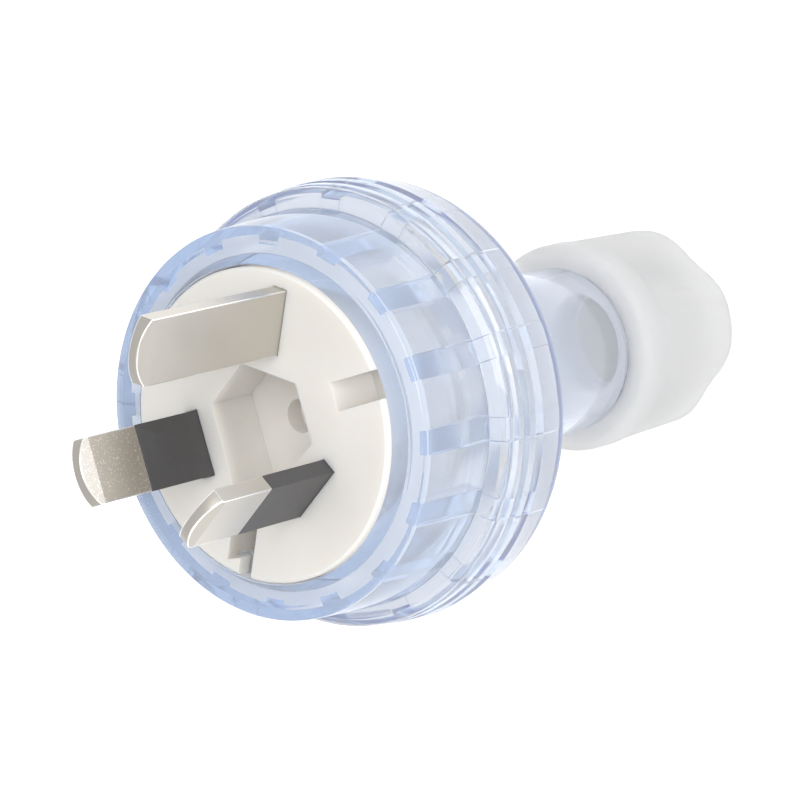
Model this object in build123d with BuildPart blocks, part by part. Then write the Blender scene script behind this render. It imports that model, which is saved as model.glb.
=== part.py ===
from math import cos, pi, radians, sin

from build123d import *
import os

os.makedirs("parts", exist_ok=True)

# Millimetres, +Z up. The plug stands on its gland nut, pins up, with its axis on Z.
# Depths are measured down from the socket face, which is the front of the white base.
body_length = 65.0
face_z = body_length

# Flat pins on the standard three pin layout
blade_width = 6.35
blade_thick = 1.6
earth_pin_reach = 20.0
live_pin_reach = 17.1
earth_pin_r = 10.31
live_pin_r = 7.92
earth_angle = 90.0
active_angle = 210.0
neutral_angle = 330.0
tip_dome = 1.3
tip_taper = 0.3
tip_taper_length = 1.7
tail_length = 3.0
earth_tail_width = 4.4
earth_tail_inset = 0.1

# Insulating sleeves, flush with the live blades
sleeve_reach = 8.85
sleeve_foot = 3.0
sleeve_wall = 0.25

# White base
base_r = 14.9
base_depth = 8.7
base_edge = 0.25
slot_clearance = 0.05
recess_depth = 6.0
recess_pin_side = 5.2
recess_upper_side = 5.45
recess_lower_side = 7.5
pip_r = 1.65
pip_depth = 2.0
notch_angle = 30.0
notch_count = 3
notch_inner_r = 9.5
notch_step_r = 13.2
notch_depth = 6.2
key_start = -0.75
key_end = 2.0
lock_pocket_start = -1.75
lock_start = -0.2
lock_end = 1.3
lock_slant = 0.7
lock_rim = 1.0
lip_thick = 1.6
window_width = 1.45
core_count = 6
core_inner_r = 10.3
core_outer_r = 13.0
core_width = 3.2
core_floor = 3.2
core_corner_r = 0.6
hub_r = 2.6
barrier_thick = 1.4
barrier_r = 12.8
barrier_end = 16.5
barrier_edge = 0.4

# Clear housing, front section
base_clearance = 0.2
opening_r = base_r + base_clearance
face_recess = 0.35
face_edge_r = 17.3
bevel_drop = 0.6
front_r = 18.67
front_rear_r = 19.25
shoulder_depth = 9.8
shoulder_slope = 0.35
wall_r = 17.3
web_rear = 2.6
collar_r = 16.0
ledge_r = 13.9
ledge_thick = 1.5
rib_count = 16
rib_width = 2.3
rib_r = 16.5
rib_root = 0.4
rib_foot = 0.2

# Twist-lock lugs that sit in the base's two windows
lug_thick = 1.6
lug_slack = 0.1
lug_inner_r = 13.4
lug_side_gap = 0.05

# Clear housing, grip rings
grip_start_r = 20.3
grip_lead_r = 21.1
grip_lead_depth = 10.9
grip_r = 21.7
grip_rear_r = 21.35
grip_wall_r = 19.4
grip_wall_front = 11.6
grip_wall_slope = 0.6
groove_1_depth = 11.3
groove_2_depth = 12.8
groove_3_depth = 14.6
groove_side = 0.6
last_groove_side = 0.8
back_depth = 19.8
back_edge_r = 1.7

# Clear housing, back and neck
cavity_depth = 18.6
neck_root_r = 9.4
neck_root_depth = 28.5
neck_fillet_r = 9.0
neck_end_r = 8.4
neck_gap = 0.6
neck_bore_r = 5.5
bore_fillet_r = 6.0
thread_r = 7.8
thread_runout = 0.6
grip_seat_r = 6.7
grip_seat_length = 4.0

# Gland nut
nut_length = 16.8
nut_collar_r = 10.6
nut_collar_length = 3.2
nut_front_round = 1.0
nut_lobe_front_r = 10.55
nut_lobe_rear_r = 10.1
nut_valley_drop = 0.95
nut_rear_round = 1.6
nut_lobes = 4
nut_valley_angle = 65.0
nut_points = 40
nut_thread_gap = 0.15
nut_hole_r = 5.0
nut_hole_length = 2.6
nut_cone_height = 3.8

# Soft cord grip, squeezed between the neck and the nut's cone
cord_grip_gap = 0.1
cord_grip_bore_r = 4.6
cord_grip_flange_r = 7.2
cord_grip_nose_r = 5.8

# Terminal blocks and their screws
block_width = 8.0
block_radial = 6.4
block_height = 10.0
block_edge = 0.5
live_block_r = 8.4
earth_block_r = 9.4
wire_hole_r = 1.7
wire_hole_depth = 6.2
screw_r = 1.5
screw_gap = 0.05
screw_depth = 15.5
screw_bite = 0.6
head_r = 2.5
head_height = 1.8
drive_slot_width = 0.8
drive_slot_depth = 0.9


def down(depth):
    return face_z - depth


def radial(angle):
    return Vector(cos(radians(angle)), sin(radians(angle)), 0)


def tangent(angle):
    return Vector(-sin(radians(angle)), cos(radians(angle)), 0)


def grip_surface(depth):
    share = (depth - grip_lead_depth) / (groove_3_depth - grip_lead_depth)
    return grip_lead_r + share * (grip_r - grip_lead_r)


def back_depth_at(r):
    # The inner cone that runs from the grip's wall to the neck's bore
    share = (grip_wall_r - r) / (grip_wall_r - neck_bore_r)
    return cavity_depth + share * (neck_root_depth - cavity_depth)


def round_corner(sketch, r, z, radius):
    fillet(sketch.vertices().sort_by_distance((r, z, 0))[0], radius)


# The base's first notch is a keyway, and the others lock on the housing's lugs
lock_angles = [notch_angle + k * 360 / notch_count for k in range(1, notch_count)]

# The housing is one clear moulding: front ring, grip rings, back and threaded neck
nut_bore_end = nut_hole_length + nut_cone_height
neck_end_depth = body_length - nut_length - neck_gap
thread_end = body_length - nut_bore_end - thread_runout
grip_seat_front = thread_end - grip_seat_length
ledge_rear = base_depth + ledge_thick
with BuildPart() as housing:
    with BuildSketch(Plane.XZ) as section:
        with BuildLine():
            Polyline(
                (opening_r, down(face_recess)),
                (face_edge_r, down(face_recess)),
                (front_r, down(face_recess + bevel_drop)),
                (front_rear_r, down(shoulder_depth)),
                (grip_start_r, down(shoulder_depth + shoulder_slope)),
                (grip_lead_r, down(grip_lead_depth)),
                (grip_r, down(groove_3_depth)),
                (grip_rear_r, down(back_depth)),
                (neck_root_r, down(neck_root_depth)),
                (neck_end_r, down(neck_end_depth)),
                (thread_r, down(neck_end_depth)),
                (thread_r, down(thread_end)),
                (grip_seat_r, down(thread_end)),
                (grip_seat_r, down(grip_seat_front)),
                (neck_bore_r, down(grip_seat_front)),
                (neck_bore_r, down(neck_root_depth)),
                (grip_wall_r, down(cavity_depth)),
                (grip_wall_r, down(grip_wall_front)),
                (wall_r, down(grip_wall_front - grip_wall_slope)),
                (wall_r, down(web_rear)),
                (collar_r, down(web_rear)),
                (collar_r, down(ledge_rear)),
                (ledge_r, down(ledge_rear)),
                (ledge_r, down(base_depth)),
                (opening_r, down(base_depth)),
                close=True,
            )
        make_face()
        round_corner(section, grip_rear_r, down(back_depth), back_edge_r)
        round_corner(section, neck_root_r, down(neck_root_depth), neck_fillet_r)
        round_corner(section, neck_bore_r, down(neck_root_depth), bore_fillet_r)
    revolve(axis=Axis.Z)
    for groove_depth in (groove_1_depth, groove_2_depth, groove_3_depth):
        side = last_groove_side if groove_depth == groove_3_depth else groove_side
        with BuildSketch(Plane.XZ):
            with Locations((grip_surface(groove_depth), down(groove_depth))):
                Rectangle(side, side, rotation=45)
        revolve(axis=Axis.Z, mode=Mode.SUBTRACT)
    for k in range(rib_count):
        angle = (k + 0.5) * 360 / rib_count
        with BuildSketch(Plane((0, 0, 0), radial(angle), -tangent(angle))) as rib:
            with BuildLine():
                Polyline(
                    (rib_r, down(web_rear)),
                    (wall_r + rib_root, down(web_rear)),
                    (wall_r + rib_root, down(grip_wall_front)),
                    (grip_wall_r + rib_root, down(grip_wall_front)),
                    (grip_wall_r + rib_root, down(cavity_depth)),
                    (rib_r, down(back_depth_at(rib_r) + rib_foot)),
                    close=True,
                )
            make_face()
        extrude(rib.sketch, amount=rib_width / 2, both=True)
    lug_width = window_width - 2 * lug_side_gap
    lug_length = opening_r + rib_root - lug_inner_r
    with Locations((0, 0, down(lip_thick + lug_thick / 2))):
        for angle in lock_angles:
            with Locations(Location((0, 0, 0), (0, 0, angle))):
                with Locations((lug_inner_r + lug_length / 2, lock_start - window_width / 2, 0)):
                    Box(lug_length, lug_width, lug_thick)
housing.part.label = "housing"


def recess_corner(angle_a, reach_a, angle_b, reach_b):
    # Where two sides of the recess meet, each given by its facing angle and distance
    cross = sin(radians(angle_b - angle_a))
    x = (reach_a * sin(radians(angle_b)) - reach_b * sin(radians(angle_a))) / cross
    y = (reach_b * cos(radians(angle_a)) - reach_a * cos(radians(angle_b))) / cross
    return (x, y)


# The base carries the pins, with a six sided recess in front and barriers behind
recess_sides = [
    (notch_angle, recess_upper_side),
    (earth_angle, recess_pin_side),
    (180 - notch_angle, recess_upper_side),
    (active_angle, recess_pin_side),
    (earth_angle + 180, recess_lower_side),
    (neutral_angle, recess_pin_side),
]
window_height = lug_thick + lug_slack
key_rim_cut = opening_r - notch_step_r
lock_step_r = base_r - lock_rim - lock_slant
lock_rim_cut = opening_r - lock_step_r
slot_long = blade_width + 2 * slot_clearance
slot_short = blade_thick + 2 * slot_clearance
with BuildPart() as pin_base:
    with BuildSketch(Plane.XY.offset(down(base_depth))):
        Circle(base_r)
    extrude(amount=base_depth)
    chamfer(pin_base.edges().group_by(Axis.Z)[-1], base_edge)
    with BuildSketch(Plane.XY.offset(down(barrier_end))):
        Circle(hub_r)
        with PolarLocations(barrier_r / 2, notch_count, notch_angle):
            Rectangle(barrier_r, barrier_thick)
    extrude(amount=barrier_end - base_depth)
    chamfer(pin_base.edges().group_by(Axis.Z)[0], barrier_edge)
    with BuildSketch(Plane.XY.offset(down(recess_depth))):
        with BuildLine():
            Polyline(
                *[recess_corner(*recess_sides[k - 1], *recess_sides[k]) for k in range(len(recess_sides))],
                close=True,
            )
        make_face()
    extrude(amount=recess_depth, mode=Mode.SUBTRACT)
    with BuildSketch(Plane.XY.offset(down(recess_depth))):
        Circle(pip_r)
    extrude(amount=-pip_depth, mode=Mode.SUBTRACT)
    with Locations(Location((0, 0, 0), (0, 0, notch_angle))):
        key_width = key_end - key_start
        key_middle = (key_start + key_end) / 2
        with Locations(((notch_inner_r + notch_step_r) / 2, key_middle, down(notch_depth / 2))):
            Box(notch_step_r - notch_inner_r, key_width, notch_depth, mode=Mode.SUBTRACT)
        with Locations((notch_step_r + key_rim_cut / 2, key_middle, down(base_depth / 2))):
            Box(key_rim_cut, key_width, base_depth, mode=Mode.SUBTRACT)
    for angle in lock_angles:
        with BuildSketch(Plane((0, 0, face_z), radial(angle), (0, 0, 1))):
            with BuildLine():
                Polyline(
                    (notch_inner_r, lock_pocket_start),
                    (notch_inner_r, lock_end),
                    (lock_step_r, lock_end),
                    (lock_step_r, lock_start),
                    (base_r - lock_rim, lock_pocket_start),
                    close=True,
                )
            make_face()
        extrude(amount=-notch_depth, mode=Mode.SUBTRACT)
        with Locations(Location((0, 0, 0), (0, 0, angle))):
            with Locations((lock_step_r + lock_rim_cut / 2, 0, 0)):
                with Locations((0, (lock_start + lock_end) / 2, down(base_depth / 2))):
                    Box(lock_rim_cut, lock_end - lock_start, base_depth, mode=Mode.SUBTRACT)
                with Locations((0, lock_start - window_width / 2, down(lip_thick + window_height / 2))):
                    Box(lock_rim_cut, window_width, window_height, mode=Mode.SUBTRACT)
    with BuildSketch(Plane.XY.offset(down(base_depth))):
        with PolarLocations((core_inner_r + core_outer_r) / 2, core_count):
            RectangleRounded(core_outer_r - core_inner_r, core_width, core_corner_r)
    extrude(amount=base_depth - core_floor, mode=Mode.SUBTRACT)
    with BuildSketch(Plane.XY.offset(down(base_depth))):
        for angle in (active_angle, neutral_angle):
            with Locations(Location(live_pin_r * radial(angle), (0, 0, angle))):
                Rectangle(slot_short, slot_long)
        with Locations(earth_pin_r * radial(earth_angle)):
            Rectangle(slot_short, slot_long)
    extrude(amount=base_depth, mode=Mode.SUBTRACT)
pin_base.part.label = "pin_base"


# Blade planes have the blade's width along x and the plug's axis along y
def live_plane(angle):
    return Plane(live_pin_r * radial(angle), tangent(angle), radial(angle))


earth_plane = Plane(earth_pin_r * radial(earth_angle), radial(earth_angle), -tangent(earth_angle))
earth_tail_shift = earth_tail_inset + (earth_tail_width - blade_width) / 2


def draw_tail(plane, shift, width, mode):
    with BuildSketch(plane) as tail:
        with Locations((shift, down(base_depth + tail_length / 2))):
            Rectangle(width, tail_length)
    extrude(tail.sketch, amount=blade_thick / 2, both=True, mode=mode)


def draw_blade(plane, reach, tail_shift, tail_width):
    # A flat blade with a domed tip, tapered on both faces, and a tail for its terminal block
    tip_z = face_z + reach
    side = blade_width / 2
    with BuildSketch(plane) as outline:
        with BuildLine():
            dome = ThreePointArc((side, tip_z - tip_dome), (0, tip_z), (-side, tip_z - tip_dome))
            Polyline(dome @ 1, (-side, down(base_depth)), (side, down(base_depth)), dome @ 0)
        make_face()
    extrude(outline.sketch, amount=blade_thick / 2, both=True)
    with BuildSketch(Plane(plane.origin, plane.z_dir, -plane.x_dir)) as taper:
        with BuildLine():
            Polyline(
                (blade_thick / 2, tip_z - tip_taper_length),
                (blade_thick / 2, tip_z),
                (blade_thick / 2 - tip_taper, tip_z),
                close=True,
            )
        make_face()
        mirror(about=Plane.YZ)
    extrude(taper.sketch, amount=side, both=True, mode=Mode.SUBTRACT)
    draw_tail(plane, tail_shift, tail_width, Mode.ADD)


def draw_sleeve(angle, margin, mode):
    # A rectangular tube round the neck of a live blade
    foot = Plane(live_pin_r * radial(angle) + Vector(0, 0, down(sleeve_foot)), tangent(angle), (0, 0, 1))
    with BuildSketch(foot) as ring:
        Rectangle(blade_width + margin, blade_thick + margin)
        Rectangle(blade_width - 2 * sleeve_wall, blade_thick - 2 * sleeve_wall, mode=Mode.SUBTRACT)
    extrude(ring.sketch, amount=sleeve_foot + sleeve_reach, mode=mode)


with BuildPart() as earth_pin:
    draw_blade(earth_plane, earth_pin_reach, earth_tail_shift, earth_tail_width)
earth_pin.part.label = "earth_pin"

with BuildPart() as active_pin:
    draw_blade(live_plane(active_angle), live_pin_reach, 0, blade_width)
    draw_sleeve(active_angle, blade_thick, Mode.SUBTRACT)
active_pin.part.label = "active_pin"

with BuildPart() as neutral_pin:
    draw_blade(live_plane(neutral_angle), live_pin_reach, 0, blade_width)
    draw_sleeve(neutral_angle, blade_thick, Mode.SUBTRACT)
neutral_pin.part.label = "neutral_pin"

with BuildPart() as active_sleeve:
    draw_sleeve(active_angle, 0, Mode.ADD)
active_sleeve.part.label = "active_sleeve"

with BuildPart() as neutral_sleeve:
    draw_sleeve(neutral_angle, 0, Mode.ADD)
neutral_sleeve.part.label = "neutral_sleeve"


def screw_plane(angle, block_r):
    seat = (block_r + block_radial / 2) * radial(angle) + Vector(0, 0, down(screw_depth))
    return Plane(seat, tangent(angle), radial(angle))


def draw_block(angle, block_r):
    # A brass block seated on the base, open behind for the wire and outside for its screw
    seat = Plane((0, 0, down(base_depth)), radial(angle), (0, 0, 1))
    with BuildSketch(seat) as outline:
        with Locations((block_r, 0)):
            RectangleRounded(block_radial, block_width, block_edge)
    extrude(outline.sketch, amount=-block_height)
    with BuildSketch(seat.offset(-block_height)) as wire_hole:
        with Locations((block_r, 0)):
            Circle(wire_hole_r)
    extrude(wire_hole.sketch, amount=wire_hole_depth, mode=Mode.SUBTRACT)
    with BuildSketch(screw_plane(angle, block_r)) as screw_hole:
        Circle(screw_r + screw_gap)
    extrude(screw_hole.sketch, amount=-block_radial / 2, mode=Mode.SUBTRACT)


with BuildPart() as earth_terminal:
    draw_block(earth_angle, earth_block_r)
    draw_tail(earth_plane, earth_tail_shift, earth_tail_width, Mode.SUBTRACT)
earth_terminal.part.label = "earth_terminal"

with BuildPart() as active_terminal:
    draw_block(active_angle, live_block_r)
    draw_tail(live_plane(active_angle), 0, blade_width, Mode.SUBTRACT)
active_terminal.part.label = "active_terminal"

with BuildPart() as neutral_terminal:
    draw_block(neutral_angle, live_block_r)
    draw_tail(live_plane(neutral_angle), 0, blade_width, Mode.SUBTRACT)
neutral_terminal.part.label = "neutral_terminal"

# The three clamp screws share one group
screw_reach = block_radial / 2 - wire_hole_r + screw_bite
screw_seats = ((earth_angle, earth_block_r), (active_angle, live_block_r), (neutral_angle, live_block_r))
with BuildPart() as terminal_screws:
    for angle, block_r in screw_seats:
        face = screw_plane(angle, block_r)
        with BuildSketch(face):
            Circle(screw_r)
        extrude(amount=-screw_reach)
        with BuildSketch(face):
            Circle(head_r)
        extrude(amount=head_height)
        with BuildSketch(face.offset(head_height)):
            Rectangle(drive_slot_width, 2 * head_r)
        extrude(amount=-drive_slot_depth, mode=Mode.SUBTRACT)
terminal_screws.part.label = "terminal_screws"

# The nut's cone and the soft grip it squeezes follow one slope
nut_bore_r = thread_r + nut_thread_gap
cone_slope = nut_cone_height / (nut_bore_r - nut_hole_r)


def cone_z(r):
    return nut_hole_length + (r - nut_hole_r) * cone_slope


def lobe_point(peak_r, turn):
    dip = ((1 + cos(nut_lobes * (turn - radians(nut_valley_angle)))) / 2) ** 2
    r = peak_r - nut_valley_drop * dip
    return (r * cos(turn), r * sin(turn))


def lobe_outline(peak_r):
    return [lobe_point(peak_r, 2 * pi * k / nut_points) for k in range(nut_points)]


with BuildPart() as gland_nut:
    with BuildSketch(Plane.XY):
        with BuildLine():
            Spline(*lobe_outline(nut_lobe_rear_r), periodic=True)
        make_face()
    with BuildSketch(Plane.XY.offset(nut_length - nut_collar_length / 2)):
        with BuildLine():
            Spline(*lobe_outline(nut_lobe_front_r), periodic=True)
        make_face()
    loft()
    fillet(gland_nut.edges().group_by(Axis.Z)[0], nut_rear_round)
    with BuildSketch(Plane.XY.offset(nut_length - nut_collar_length)):
        Circle(nut_collar_r)
    extrude(amount=nut_collar_length)
    fillet(gland_nut.edges().group_by(Axis.Z)[-1], nut_front_round)
    with BuildSketch(Plane.XZ):
        with BuildLine():
            Polyline(
                (0, 0),
                (nut_hole_r, 0),
                (nut_hole_r, nut_hole_length),
                (nut_bore_r, nut_bore_end),
                (nut_bore_r, nut_length),
                (0, nut_length),
                close=True,
            )
        make_face()
    revolve(axis=Axis.Z, mode=Mode.SUBTRACT)
gland_nut.part.label = "gland_nut"

with BuildPart() as cord_grip:
    barrel_r = grip_seat_r - cord_grip_gap
    nose_z = cone_z(cord_grip_nose_r + cord_grip_gap)
    with BuildSketch(Plane.XZ):
        with BuildLine():
            Polyline(
                (cord_grip_bore_r, down(grip_seat_front)),
                (barrel_r, down(grip_seat_front)),
                (barrel_r, down(thread_end)),
                (cord_grip_flange_r, down(thread_end)),
                (cord_grip_flange_r, cone_z(cord_grip_flange_r + cord_grip_gap)),
                (cord_grip_nose_r, nose_z),
                (cord_grip_bore_r, nose_z),
                close=True,
            )
        make_face()
    revolve(axis=Axis.Z)
cord_grip.part.label = "cord_grip"

for piece in (
    housing,
    pin_base,
    earth_pin,
    active_pin,
    neutral_pin,
    active_sleeve,
    neutral_sleeve,
    earth_terminal,
    active_terminal,
    neutral_terminal,
    terminal_screws,
    gland_nut,
    cord_grip,
):
    export_step(piece.part, f"parts/{piece.part.label}.step")
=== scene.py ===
import bmesh
import bpy
import math
from mathutils import Matrix, Vector


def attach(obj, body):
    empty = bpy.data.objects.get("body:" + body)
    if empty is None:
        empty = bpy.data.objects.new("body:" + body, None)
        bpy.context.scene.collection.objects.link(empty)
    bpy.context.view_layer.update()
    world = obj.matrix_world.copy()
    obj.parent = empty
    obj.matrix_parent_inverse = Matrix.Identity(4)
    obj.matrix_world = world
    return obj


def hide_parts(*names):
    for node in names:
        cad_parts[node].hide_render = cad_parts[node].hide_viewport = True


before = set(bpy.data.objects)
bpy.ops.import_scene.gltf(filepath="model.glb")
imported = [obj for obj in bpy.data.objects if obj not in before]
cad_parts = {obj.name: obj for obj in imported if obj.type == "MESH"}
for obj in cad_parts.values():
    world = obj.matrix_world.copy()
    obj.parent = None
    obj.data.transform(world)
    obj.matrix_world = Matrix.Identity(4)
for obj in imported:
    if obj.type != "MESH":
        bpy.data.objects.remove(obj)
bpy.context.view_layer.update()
scene = bpy.context.scene
scene.view_settings.view_transform = "Standard"
clearBounces = 32  # light turns many corners inside thick clear plastic
scene.cycles.max_bounces = clearBounces
scene.cycles.glossy_bounces = clearBounces
scene.cycles.transmission_bounces = clearBounces
print("frame loaded:", len(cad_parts), "nodes")

faceHeight = 65.0  # socket face above the nut's rear end, mm


# small helpers, all in mm with z measured from the nut's rear end
def putMesh(name, points, faces, material, nodes, smoothAngle=32):
    mesh = bpy.data.meshes.new(name)
    mesh.from_pydata([(x / 1000, y / 1000, z / 1000) for x, y, z in points], [], faces)
    mesh.validate()
    piece = bpy.data.objects.new(name, mesh)
    scene.collection.objects.link(piece)
    finishMesh(piece, smoothAngle)
    mesh.materials.append(material)
    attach(piece, "root")
    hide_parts(*nodes)
    return piece


def finishMesh(piece, smoothAngle):
    bm = bmesh.new()
    bm.from_mesh(piece.data)
    bmesh.ops.recalc_face_normals(bm, faces=bm.faces)
    bm.to_mesh(piece.data)
    bm.free()
    piece.data.polygons.foreach_set("use_smooth", [True] * len(piece.data.polygons))
    piece.data.set_sharp_from_angle(angle=math.radians(smoothAngle))


def roundedProfile(corners, steps=4):
    # corners are (r, z, radius); each one is cut back and filled with an arc
    out = []
    count = len(corners)
    for k, (r, z, radius) in enumerate(corners):
        here = Vector((r, z))
        if radius <= 0:
            out.append((r, z))
            continue
        toPrev = (Vector(corners[k - 1][:2]) - here).normalized()
        toNext = (Vector(corners[(k + 1) % count][:2]) - here).normalized()
        half = math.acos(max(-1, min(1, toPrev.dot(toNext)))) / 2
        reach = radius / math.tan(half)
        centre = here + (toPrev + toNext).normalized() * radius / math.sin(half)
        first = here + toPrev * reach - centre
        last = here + toNext * reach - centre
        sweep = math.atan2(first.x * last.y - first.y * last.x, first.dot(last))
        for step in range(steps + 1):
            turn = sweep * step / steps
            x = first.x * math.cos(turn) - first.y * math.sin(turn)
            y = first.x * math.sin(turn) + first.y * math.cos(turn)
            out.append((centre.x + x, centre.y + y))
    return out


def lathe(profile, angles, shift):
    # closed profile turned round the axis; shift moves a point by its row, place and angle
    points, faces = [], []
    rows, turns = len(profile), len(angles)
    for turn in angles:
        for k, (r, z) in enumerate(profile):
            r, z, way = shift(k, r, z, turn)
            points.append((r * math.cos(way), r * math.sin(way), z))
    for j in range(turns):
        for k in range(rows):
            a = j * rows + k
            b = j * rows + (k + 1) % rows
            c = ((j + 1) % turns) * rows + (k + 1) % rows
            d = ((j + 1) % turns) * rows + k
            faces.append((a, b, c, d))
    return points, faces


# materials
def newMaterial(name):
    material = bpy.data.materials.new(name)
    material.use_nodes = True
    tree = material.node_tree
    return material, tree.nodes, tree.links, tree.nodes["Principled BSDF"]


def addNoise(nodes, links, scale, detail=4.0, rough=0.55):
    coords = nodes.new("ShaderNodeTexCoord")
    noise = nodes.new("ShaderNodeTexNoise")
    noise.inputs["Scale"].default_value = scale
    noise.inputs["Detail"].default_value = detail
    noise.inputs["Roughness"].default_value = rough
    links.new(coords.outputs["Object"], noise.inputs["Vector"])
    return noise.outputs["Fac"]


def addRange(nodes, links, source, low, high, start=0.0, end=1.0):
    span = nodes.new("ShaderNodeMapRange")
    span.inputs["From Min"].default_value = start
    span.inputs["From Max"].default_value = end
    span.inputs["To Min"].default_value = low
    span.inputs["To Max"].default_value = high
    links.new(source, span.inputs["Value"])
    return span.outputs["Result"]


def addBlend(nodes, links, factor, first, second):
    blend = nodes.new("ShaderNodeMix")
    blend.data_type = "RGBA"
    for socket, colour in (("A", first), ("B", second)):
        if isinstance(colour, tuple):
            blend.inputs[socket].default_value = (*colour, 1)
        else:
            links.new(colour, blend.inputs[socket])
    links.new(factor, blend.inputs["Factor"])
    return blend.outputs["Result"]


def addBump(nodes, links, source, shader, strength, distance):
    bump = nodes.new("ShaderNodeBump")
    bump.inputs["Strength"].default_value = strength
    bump.inputs["Distance"].default_value = distance
    links.new(source, bump.inputs["Height"])
    links.new(bump.outputs["Normal"], shader.inputs["Normal"])


def addMark(nodes, name):
    # a value that the mesh carries
    mark = nodes.new("ShaderNodeAttribute")
    mark.attribute_name = name
    return mark.outputs["Fac"]


clearSet = {
    "ior": 1.5, "body": (0.92, 0.905, 0.912), "tint": (0.40, 0.67, 0.955), "density": 122.0,
    "clear": 0.96, "matteClear": 0.2, "polished": (0.02, 0.05), "frosted": (0.5, 0.62),
    "flow": 180, "flowStrength": 0.05, "flowHeight": 0.0002,
}


def clearPlastic():
    # rough where the mesh's frost value says so, and less clear where its matte value does
    s = clearSet
    material, nodes, links, shader = newMaterial("clear plastic")
    shader.inputs["Base Color"].default_value = (*s["body"], 1)
    haze = addRange(nodes, links, addMark(nodes, "matte"), s["clear"], s["matteClear"])
    links.new(haze, shader.inputs["Transmission Weight"])
    shader.inputs["IOR"].default_value = s["ior"]
    flow = addNoise(nodes, links, s["flow"])
    finish = nodes.new("ShaderNodeMix")
    links.new(addMark(nodes, "frost"), finish.inputs["Factor"])
    links.new(addRange(nodes, links, flow, *s["polished"]), finish.inputs["A"])
    links.new(addRange(nodes, links, flow, *s["frosted"]), finish.inputs["B"])
    links.new(finish.outputs["Result"], shader.inputs["Roughness"])
    addBump(nodes, links, flow, shader, s["flowStrength"], s["flowHeight"])
    inside = nodes.new("ShaderNodeVolumeAbsorption")
    inside.inputs["Color"].default_value = (*s["tint"], 1)
    inside.inputs["Density"].default_value = s["density"]
    links.new(inside.outputs["Volume"], nodes["Material Output"].inputs["Volume"])
    return material


plasticSets = {
    "white base plastic": {
        "light": (0.80, 0.78, 0.745), "dark": (0.775, 0.752, 0.715), "cloud": 220, "clear": 0,
        "rough": (0.42, 0.55), "soft": 0.5, "softSpread": (1.0, 0.78, 0.6), "softDepth": 0.002,
        "grain": 5200, "grainStrength": 0.12,
    },
    "black sleeve plastic": {
        "light": (0.088, 0.086, 0.089), "dark": (0.07, 0.069, 0.071), "cloud": 600, "clear": 0,
        "rough": (0.36, 0.5), "soft": 0, "grain": 6000, "grainStrength": 0.2,
    },
    "milky nut plastic": {
        "light": (0.98, 0.98, 0.98), "dark": (0.965, 0.965, 0.965), "cloud": 160, "clear": 0.38,
        "rough": (0.42, 0.54), "soft": 0.9, "softSpread": (1.0, 1.0, 1.0), "softDepth": 0.004,
        "grain": 2600, "grainStrength": 0.08,
    },
    "pale grip rubber": {
        "light": (0.97, 0.97, 0.97), "dark": (0.95, 0.95, 0.95), "cloud": 500, "clear": 0.6,
        "rough": (0.5, 0.65), "soft": 0.5, "softSpread": (1.0, 1.0, 1.0), "softDepth": 0.002,
        "grain": 4000, "grainStrength": 0.1,
    },
}
allPlastic = {"ior": 1.49, "grainDetail": 3.0, "grainHeight": 0.00005}


def paintedPlastic(name, s):
    # opaque or milky plastic: two close tones, uneven gloss, a fine moulded grain
    material, nodes, links, shader = newMaterial(name)
    broad = addNoise(nodes, links, s["cloud"])
    links.new(addBlend(nodes, links, broad, s["dark"], s["light"]), shader.inputs["Base Color"])
    links.new(addRange(nodes, links, broad, *s["rough"]), shader.inputs["Roughness"])
    shader.inputs["IOR"].default_value = allPlastic["ior"]
    if s["soft"]:
        shader.inputs["Subsurface Weight"].default_value = s["soft"]
        shader.inputs["Subsurface Radius"].default_value = s["softSpread"]
        shader.inputs["Subsurface Scale"].default_value = s["softDepth"]
    if s["clear"]:
        shader.inputs["Transmission Weight"].default_value = s["clear"]
    grain = addNoise(nodes, links, s["grain"], allPlastic["grainDetail"])
    addBump(nodes, links, grain, shader, s["grainStrength"], allPlastic["grainHeight"])
    return material


# each metal's end tone and end span give a painted shade: darker faces where they look along the
# plug's axis
metalSets = {
    "satin nickel": {
        "tone": (0.63, 0.60, 0.55), "rough": (0.34, 0.44), "grain": 2400, "grainStrength": 0.06,
        "paintedGlintCut": 0, "endShadeTone": 0.72, "endShadeSpan": (0.06, 0.22),
    },
    "grainy nickel with painted glints": {
        "tone": (0.71, 0.67, 0.615), "rough": (0.18, 0.3), "grain": 2600, "grainStrength": 0.15,
        # its bright specks are painted glints, highlights painted into the colour
        "paintedGlintCut": 0.62, "endShadeTone": 0.62, "endShadeSpan": (0.45, 0.75),
    },
    # a brighter metal for the pins' bevels: a painted highlight along the edges
    "painted highlight edge": {
        "tone": (0.97, 0.95, 0.92), "rough": (0.12, 0.2), "grain": 2600, "grainStrength": 0.1,
        "paintedGlintCut": 0, "endShadeTone": 0.8, "endShadeSpan": (0.7, 1.0),
    },
    "plated brass": {
        "tone": (0.88, 0.83, 0.72), "rough": (0.3, 0.42), "grain": 3000, "grainStrength": 0.12,
        "paintedGlintCut": 0, "endShadeTone": 0.7, "endShadeSpan": (0.45, 0.75),
    },
    "zinc plated steel": {
        "tone": (0.76, 0.76, 0.77), "rough": (0.25, 0.4), "grain": 3000, "grainStrength": 0.12,
        "paintedGlintCut": 0, "endShadeTone": 0.7, "endShadeSpan": (0.45, 0.75),
    },
}
allMetal = {
    "cloud": 300, "cloudTone": 0.95, "grainDetail": 3.0, "grainHeight": 0.00004,
    # these four values make the painted glints, bright specks painted into the metal's colour
    "paintedGlint": 5200, "paintedGlintDetail": 1.0, "paintedGlintSpan": 0.05, "paintedGlintTone": (1.0, 0.99, 0.96),
}


def addEndShadeMask(nodes, links, span):
    # 1 on the faces that look along the plug's axis, where a painted shade darkens the metal
    geometry = nodes.new("ShaderNodeNewGeometry")
    split = nodes.new("ShaderNodeSeparateXYZ")
    links.new(geometry.outputs["Normal"], split.inputs[0])
    return addRange(nodes, links, split.outputs["Z"], 0.0, 1.0, *span)


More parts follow.
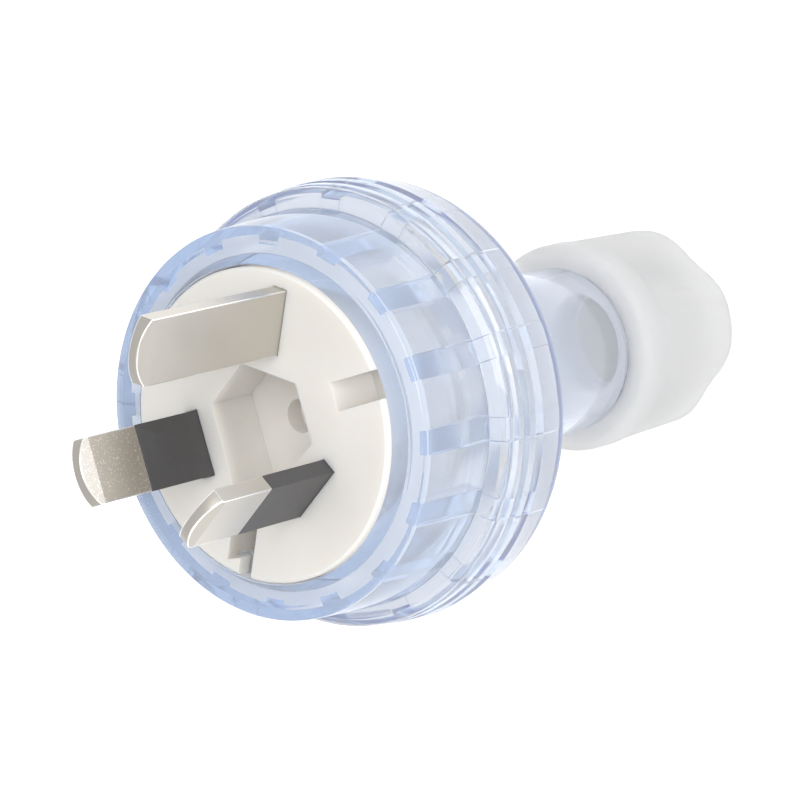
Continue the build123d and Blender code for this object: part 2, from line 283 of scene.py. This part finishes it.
def platedMetal(name, s):
    material, nodes, links, shader = newMaterial(name)
    shader.inputs["Metallic"].default_value = 1.0
    cloud = addNoise(nodes, links, allMetal["cloud"])
    tone, paintedGlintCut = s["tone"], s["paintedGlintCut"]
    dull = tuple(c * allMetal["cloudTone"] for c in tone)
    colour = addBlend(nodes, links, cloud, dull, tone)
    if paintedGlintCut:
        # painted glints: bright specks painted into the colour, standing in for light glinting
        # off the rough plating
        paintedGlint = addNoise(nodes, links, allMetal["paintedGlint"], allMetal["paintedGlintDetail"])
        paintedGlintMask = addRange(nodes, links, paintedGlint, 0.0, 1.0, paintedGlintCut, paintedGlintCut + allMetal["paintedGlintSpan"])
        colour = addBlend(nodes, links, paintedGlintMask, colour, allMetal["paintedGlintTone"])
    # painted shade: the faces that look along the axis get a darker tone
    endShade = addEndShadeMask(nodes, links, s["endShadeSpan"])
    colour = addBlend(nodes, links, endShade, colour, tuple(c * s["endShadeTone"] for c in tone))
    links.new(colour, shader.inputs["Base Color"])
    links.new(addRange(nodes, links, cloud, *s["rough"]), shader.inputs["Roughness"])
    grain = addNoise(nodes, links, s["grain"], allMetal["grainDetail"])
    addBump(nodes, links, grain, shader, s["grainStrength"], allMetal["grainHeight"])
    return material


looks = {name: paintedPlastic(name, s) for name, s in plasticSets.items()}
looks.update({name: platedMetal(name, s) for name, s in metalSets.items()})
looks["clear plastic"] = clearPlastic()
print("materials made:", len(looks))

# clear housing: one turned shell whose inner wall carries the axial ribs
# radii end in R, roundings in Round, degrees in Deg and radians in Turn;
# places along the axis are depths behind the socket face
housingSet = {
    "openingR": 15.1, "faceRecess": 0.35, "faceEdgeR": 17.3, "bevelDrop": 0.6, "frontR": 18.67,
    "frontRearR": 19.25, "shoulder": 9.8, "slope": 0.35, "gripStartR": 20.3, "gripLeadR": 21.1,
    "gripLead": 10.9, "gripR": 21.55, "gripRearR": 21.0, "grooves": (11.3, 12.8, 14.6),
    "grooveSide": (0.6, 0.6, 0.8), "rearLipDrop": 0.05, "back": 19.4, "cavity": 18.6,
    "neckRootR": 9.4, "neckRoot": 28.5, "neckEndR": 8.4, "neckEnd": 47.6, "boreR": 7.0,
    "boreEndR": 4.6, "boreStep": 49.5, "threadR": 7.8, "threadEnd": 58.0, "seatR": 6.7,
    "seatFront": 54.0, "seatSlope": 0.3, "gripWallR": 20.1, "gripWallFront": 11.6, "wallR": 17.3,
    "wallRear": 11.0, "ribFront": 3.6, "webRear": 2.6, "collarR": 16.0, "ledgeR": 13.9,
    "ledgeRear": 10.2, "baseDepth": 8.7,
    "edgeRound": 0.12, "faceRound": 0.2, "bevelRound": 0.35, "gripRound": 0.2, "leadRound": 0.1,
    "lipRound": 0.06, "grooveRound": 0.05, "backRound": 2.4, "neckRound": 9.0,
    "neckEndRound": 0.25, "threadRound": 0.1, "threadEndRound": 0.3, "seatRound": 0.05,
    "stepRound": 0.35, "boreRound": 6.0, "webRound": 0.1, "ledgeRound": 0.15, "baseRound": 0.1,
    "ribs": 16, "ribWidth": 2.3, "ribRise": 0.8, "ribEndRise": 0.45, "gripRibRise": 0.4,
    "ribTopDeg": 1.2, "ribEdgeDeg": (-0.55, -0.3, 0.0, 0.25, 0.5), "ribGapDeg": (6.2, 8.5),
    "ribSideTurn": 0.004, "ribSlackTurn": 0.0001, "ribReachTurn": 0.006, "bareEdgeDeg": 0.32,
    "backFrost": 0.6, "gripFrost": 0.1, "wallFrost": 0.15,
    "wallMatte": 0.197, "ringMatte": 0.76, "openingMatte": 0.96, "neckMatte": 0.15,
    "stepMatte": 0.9, "neckFront": 24.5, "stepReach": 0.4, "near": 0.01,
    "lugInnerR": 13.4, "lugWidth": 1.35, "lugTop": 1.6, "lugThick": 1.6, "lugMiddle": -0.925,
    "lugs": (150, 270),
}


def housingProfile(s):
    corners = [
        (s["openingR"], s["faceRecess"], s["edgeRound"]),
        (s["faceEdgeR"], s["faceRecess"], s["faceRound"]),
        (s["frontR"], s["faceRecess"] + s["bevelDrop"], s["bevelRound"]),
        (s["frontRearR"], s["shoulder"], s["edgeRound"]),
        (s["gripStartR"], s["shoulder"] + s["slope"], s["gripRound"]),
        (s["gripLeadR"], s["gripLead"], s["leadRound"]),
    ]
    lastGroove = s["grooves"][-1]
    taper = (s["gripR"] - s["gripLeadR"]) / (lastGroove - s["gripLead"])
    for depth, side in zip(s["grooves"], s["grooveSide"]):
        reach = side / math.sqrt(2)
        r = s["gripLeadR"] + taper * (depth - s["gripLead"])
        behindR = r + taper * reach if depth < lastGroove else r - s["rearLipDrop"]
        corners += [
            (r - taper * reach, depth - reach, s["lipRound"]),
            (r - reach, depth, s["grooveRound"]),
            (behindR, depth + reach, s["lipRound"]),
        ]
    corners += [
        (s["gripRearR"], s["back"], s["backRound"]),
        (s["neckRootR"], s["neckRoot"], s["neckRound"]),
        (s["neckEndR"], s["neckEnd"], s["neckEndRound"]),
        (s["threadR"], s["neckEnd"], s["threadRound"]),
        (s["threadR"], s["threadEnd"], s["threadEndRound"]),
        (s["seatR"], s["threadEnd"], s["threadRound"]),
        (s["seatR"], s["seatFront"], s["seatRound"]),
        (s["boreEndR"], s["seatFront"] - s["seatSlope"], s["seatRound"]),
        (s["boreEndR"], s["boreStep"], s["stepRound"]),
        (s["boreR"], s["boreStep"], s["stepRound"]),
        (s["boreR"], s["neckRoot"], s["boreRound"]),
        (s["gripWallR"], s["cavity"], 0),
        (s["gripWallR"], s["gripWallFront"], 0),
        (s["wallR"], s["wallRear"], 0),
        (s["wallR"], s["ribFront"], 0),
        (s["wallR"], s["webRear"], 0),
        (s["collarR"], s["webRear"], s["webRound"]),
        (s["collarR"], s["ledgeRear"], s["ledgeRound"]),
        (s["ledgeR"], s["ledgeRear"], s["ledgeRound"]),
        (s["ledgeR"], s["baseDepth"], s["baseRound"]),
        (s["openingR"], s["baseDepth"], s["baseRound"]),
    ]
    return [(r, faceHeight - d) for r, d in roundedProfile(corners)]


def halfRib(s):
    return s["ribWidth"] / 2 / s["wallR"]


def ribAway(turn, s):
    # turn from the middle of the nearest rib
    pitch = 2 * math.pi / s["ribs"]
    return turn % pitch - pitch / 2


def housingAngles(s):
    # close columns at the edges of each rib, few between the ribs
    halfDeg = math.degrees(halfRib(s))
    pitch = 360 / s["ribs"]
    right = [s["ribTopDeg"], *[halfDeg + e for e in s["ribEdgeDeg"]], *s["ribGapDeg"]]
    offsets = [-pitch / 2, *[-off for off in reversed(right)], 0, *right]
    return [math.radians(pitch * (k + 0.5) + off) for k in range(s["ribs"]) for off in offsets]


def addLugs(points, faces, s):
    # two bayonet lugs in the base's windows
    top = faceHeight - s["lugTop"]
    inner, outer = s["lugInnerR"], s["openingR"]
    for angle in s["lugs"]:
        turn = math.radians(angle)
        a = len(points)
        for z in (top, top - s["lugThick"]):
            for r, aside in ((inner, -0.5), (outer, -0.5), (outer, 0.5), (inner, 0.5)):
                across = s["lugMiddle"] + aside * s["lugWidth"]
                points.append((r * math.cos(turn) - across * math.sin(turn),
                               r * math.sin(turn) + across * math.cos(turn), z))
        faces += [(a, a + 1, a + 2, a + 3), (a + 7, a + 6, a + 5, a + 4)]
        faces += [(a + k, a + 4 + k, a + 4 + (k + 1) % 4, a + (k + 1) % 4) for k in range(4)]


def markFrost(piece, rows, angles, foot, s):
    # the cavity's back and inner wall are rougher, the edges of the ribs are left bright
    frostRows = {k: s["backFrost"] for k in range(foot - 5, foot)}
    frostRows.update({k: s["gripFrost"] for k in range(foot, foot + 2)})
    frostRows.update({k: s["wallFrost"] for k in range(foot + 2, foot + 5)})
    frost = piece.data.attributes.new("frost", "FLOAT", "POINT")
    for column, turn in enumerate(angles):
        fromEdge = abs(ribAway(turn, s)) - halfRib(s)
        onEdge = abs(fromEdge) < math.radians(s["bareEdgeDeg"])
        for k, value in frostRows.items():
            bare = onEdge and k >= foot
            frost.data[column * rows + k].value = 0.0 if bare else value


def markMatte(piece, profile, turned, foot, s):
    # less clear on the ring's rear face, its opening and the bore's step, clearer on the neck
    rows = len(profile)
    depths = [(k, r, faceHeight - z) for k, (r, z) in enumerate(profile)]
    step = {k for k, r, d in depths
            if s["boreEndR"] - s["near"] < r < s["boreR"]
            and abs(d - s["boreStep"]) < s["stepReach"]}
    neck = {k for k, r, d in depths
            if s["boreR"] - s["near"] < r < s["neckRootR"] and d > s["neckFront"]}
    zones = [({foot + 4, foot + 5}, s["ringMatte"]), ({rows - 1, 0}, s["openingMatte"]),
             (step, s["stepMatte"]), (neck, s["neckMatte"])]
    matte = piece.data.attributes.new("matte", "FLOAT", "FACE")
    for face in piece.data.polygons:
        marks = {v % rows for v in face.vertices if v < turned}
        values = [value for zone, value in zones if marks and marks <= zone]
        matte.data[face.index].value = values[0] if values else s["wallMatte"]


def makeHousing():
    s = housingSet
    profile = housingProfile(s)
    angles = housingAngles(s)
    foot = profile.index((s["gripWallR"], faceHeight - s["cavity"]))
    wall = range(foot, foot + 5)  # the inner wall's corners, from its foot to the web
    rises = (s["gripRibRise"], s["gripRibRise"], s["ribRise"], s["ribRise"], s["ribEndRise"])
    slope = (s["neckRoot"] - s["cavity"]) / (s["gripWallR"] - s["boreR"])

    def ribShift(k, r, z, turn):
        away = ribAway(turn, s)
        if k not in wall or abs(away) > halfRib(s) + s["ribReachTurn"]:
            return r, z, turn
        rise = (halfRib(s) + s["ribSlackTurn"] - abs(away)) / s["ribSideTurn"]
        crestR = r - max(0.0, min(1.0, rise)) * rises[k - foot]
        crestZ = z - (r - crestR) * slope if k == foot else z
        return crestR, crestZ, turn - away + away * s["wallR"] / crestR

    points, faces = lathe(profile, angles, ribShift)
    turned = len(points)
    addLugs(points, faces, s)
    piece = putMesh("housingShell", points, faces, looks["clear plastic"],
                    ["housing"])
    markFrost(piece, len(profile), angles, foot, s)
    markMatte(piece, profile, turned, foot, s)
    return piece


housingShell = makeHousing()
housingShell.visible_shadow = False
print("housing made:", len(housingShell.data.polygons), "faces")

# gland nut: round collar in front, four soft lobes behind it, cone and cord hole inside
nutSet = {
    "length": 16.8, "collarR": 10.6, "collar": 3.2, "frontRound": 1.0, "lobeFrontR": 10.55,
    "lobeRearR": 10.1, "valleyDrop": 0.95, "lobes": 4, "valleyAngle": 65, "rearRound": 1.6,
    "lobeStart": 1.0, "lobeFade": 3.0, "seamRise": 0.02, "boreR": 7.95, "boreRound": 0.4,
    "coneTop": 6.4, "coneRound": 0.2, "holeR": 5.0, "hole": 2.6, "holeRound": 0.3,
    "turns": 144, "roundSteps": 6, "wallSteps": 10, "smoothAngle": 40,
}


def makeNut():
    s = nutSet
    seam = s["length"] - s["collar"]
    share = seam / (s["length"] - s["collar"] / 2)
    seamR = s["lobeRearR"] + (s["lobeFrontR"] - s["lobeRearR"]) * share
    corners = [
        (s["holeR"], 0, s["holeRound"]),
        (s["lobeRearR"], 0, s["rearRound"]),
        (seamR, seam, 0),
        (s["collarR"], seam + s["seamRise"], 0),
        (s["collarR"], s["length"], s["frontRound"]),
        (s["boreR"], s["length"], s["boreRound"]),
        (s["boreR"], s["coneTop"], s["coneRound"]),
        (s["holeR"], s["hole"], s["coneRound"]),
    ]
    profile = roundedProfile(corners, s["roundSteps"])
    seamRow = profile.index((seamR, seam))
    footR, foot = profile[seamRow - 1]
    shares = [k / s["wallSteps"] for k in range(1, s["wallSteps"])]
    walls = [(footR + (seamR - footR) * k, foot + (seam - foot) * k) for k in shares]
    profile[seamRow:seamRow] = walls
    last = seamRow + len(walls)

    def lobeShift(k, r, z, turn):
        beyond = r - s["holeR"] - s["lobeStart"]
        if k > last or beyond < 0:
            return r, z, turn
        wave = math.cos(s["lobes"] * (turn - math.radians(s["valleyAngle"])))
        dip = ((1 + wave) / 2) ** 2
        depth = min(1.0, beyond / s["lobeFade"])
        return r - s["valleyDrop"] * dip * depth, z, turn

    angles = [2 * math.pi * k / s["turns"] for k in range(s["turns"])]
    points, faces = lathe(profile, angles, lobeShift)
    return putMesh("nutBody", points, faces, looks["milky nut plastic"],
                   ["gland_nut"], s["smoothAngle"])


nutBody = makeNut()
print("nut made:", len(nutBody.data.polygons), "faces")

# the other solids keep their own meshes, with broken edges and a finish; a third value puts a
# brighter metal on the pins' bevels, a painted highlight
dressSet = {
    "pin_base": ("white base plastic", 0.12),
    "earth_pin": ("satin nickel", 0.2, "painted highlight edge"),
    "active_pin": ("grainy nickel with painted glints", 0.2, "painted highlight edge"),
    "neutral_pin": ("satin nickel", 0.2, "painted highlight edge"),
    "active_sleeve": ("black sleeve plastic", 0.05),
    "neutral_sleeve": ("black sleeve plastic", 0.05),
    "earth_terminal": ("plated brass", 0.15),
    "active_terminal": ("plated brass", 0.15),
    "neutral_terminal": ("plated brass", 0.15),
    "terminal_screws": ("zinc plated steel", 0.1),
    "cord_grip": ("pale grip rubber", 0.1),
}
allDress = {"weld": 0.000002, "segments": 3, "edgeAngle": 25}


def dressSolid(nodeName, lookName, edge, highlightEdgeLook=None):
    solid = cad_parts[nodeName]
    solid.data.materials.clear()
    solid.data.materials.append(looks[lookName])
    weld = solid.modifiers.new("weld", "WELD")
    weld.merge_threshold = allDress["weld"]
    bevel = solid.modifiers.new("broken edges", "BEVEL")
    bevel.width = edge / 1000
    bevel.segments = allDress["segments"]
    bevel.limit_method = "ANGLE"
    bevel.angle_limit = math.radians(allDress["edgeAngle"])
    bevel.use_clamp_overlap = True
    bevel.harden_normals = True
    # the bevels get the brighter metal: a painted highlight
    if highlightEdgeLook:
        solid.data.materials.append(looks[highlightEdgeLook])
        bevel.material = 1


for nodeName, dress in dressSet.items():
    dressSolid(nodeName, *dress)
print("solids dressed:", len(dressSet))

# pale floor, soft light and the photograph's camera; lamps are (place, size, power)
stageSet = {
    "floor": 0.9, "floorRough": 0.9, "floorGlow": 0.4, "floorSize": 6,
    "worldLight": 0.72, "worldSeen": 1.0,
    "lens": 202.78, "sensor": 36, "nearest": 0.01,
    "place": (0.24138, 0.13064, 0.38182),
    "right": (0.7792261, 0.1406926, -0.6107473),
    "down": (0.2936226, -0.9428706, 0.1574194),
    "ahead": (-0.5537079, -0.3019945, -0.7760199),
    "lamps": {
        "key": ((0.42, 0.42, 0.79), (0.6, 0.6), 4.2),
        "side": ((0.75, 0.30, 0.10), (0.5, 0.16), 2.2),
        "fill": ((0.30, -0.65, 0.25), (0.7, 0.5), 1.0),
    },
    "lampAim": (0, 0, 0.05), "sideLit": ("pin_base",),
}


def seenRays(nodes, links):
    # 1 for rays that look at the background, straight or by way of gloss or clear plastic
    path = nodes.new("ShaderNodeLightPath")
    total = path.outputs["Is Camera Ray"]
    for name in ("Is Glossy Ray", "Is Transmission Ray"):
        either = nodes.new("ShaderNodeMath")
        either.operation = "MAXIMUM"
        links.new(total, either.inputs[0])
        links.new(path.outputs[name], either.inputs[1])
        total = either.outputs[0]
    return total


def makeFloor(s):
    bpy.ops.mesh.primitive_plane_add(size=s["floorSize"], location=(0, 0, 0))
    floor = bpy.context.object
    floor.name = "floor"
    material, nodes, links, shader = newMaterial("pale floor")
    shader.inputs["Base Color"].default_value = (s["floor"], s["floor"], s["floor"], 1)
    shader.inputs["Roughness"].default_value = s["floorRough"]
    glow = nodes.new("ShaderNodeEmission")
    strength = addRange(nodes, links, seenRays(nodes, links), 0.0, s["floorGlow"])
    links.new(strength, glow.inputs["Strength"])
    both = nodes.new("ShaderNodeAddShader")
    links.new(shader.outputs[0], both.inputs[0])
    links.new(glow.outputs[0], both.inputs[1])
    links.new(both.outputs[0], nodes["Material Output"].inputs["Surface"])
    floor.data.materials.append(material)


def makeWorld(s):
    world = bpy.data.worlds.new("studio")
    scene.world = world
    world.use_nodes = True
    nodes, links = world.node_tree.nodes, world.node_tree.links
    sky = nodes["Background"]
    sky.inputs["Color"].default_value = (1, 1, 1, 1)
    strength = addRange(nodes, links, seenRays(nodes, links), s["worldLight"], s["worldSeen"])
    links.new(strength, sky.inputs["Strength"])


def makeCamera(s):
    camera = bpy.data.objects.new("camera", bpy.data.cameras.new("camera"))
    scene.collection.objects.link(camera)
    camera.data.sensor_width = s["sensor"]
    camera.data.lens = s["lens"]
    camera.data.clip_start = s["nearest"]
    right, downward, ahead = (Vector(s[k]) for k in ("right", "down", "ahead"))
    turn = Matrix((right, -downward, -ahead)).transposed()
    camera.matrix_world = Matrix.Translation(s["place"]) @ turn.to_4x4()
    scene.camera = camera


def addLamp(name, place, size, power):
    lamp = bpy.data.objects.new(name, bpy.data.lights.new(name, "AREA"))
    scene.collection.objects.link(lamp)
    lamp.data.shape = "RECTANGLE"
    lamp.data.size, lamp.data.size_y = size
    lamp.data.energy = power
    lamp.location = place
    aim = Vector(stageSet["lampAim"]) - Vector(place)
    lamp.rotation_euler = aim.to_track_quat("-Z", "Y").to_euler()
    return lamp


def lightOnly(lamp, nodeNames):
    # the lamp lights these solids and nothing else
    lit = bpy.data.collections.new("side lit")
    for nodeName in nodeNames:
        lit.objects.link(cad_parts[nodeName])
    lamp.light_linking.receiver_collection = lit


makeFloor(stageSet)
makeWorld(stageSet)
makeCamera(stageSet)
lamps = {name: addLamp(name, *lamp) for name, lamp in stageSet["lamps"].items()}
lightOnly(lamps["side"], stageSet["sideLit"])
print("stage set")
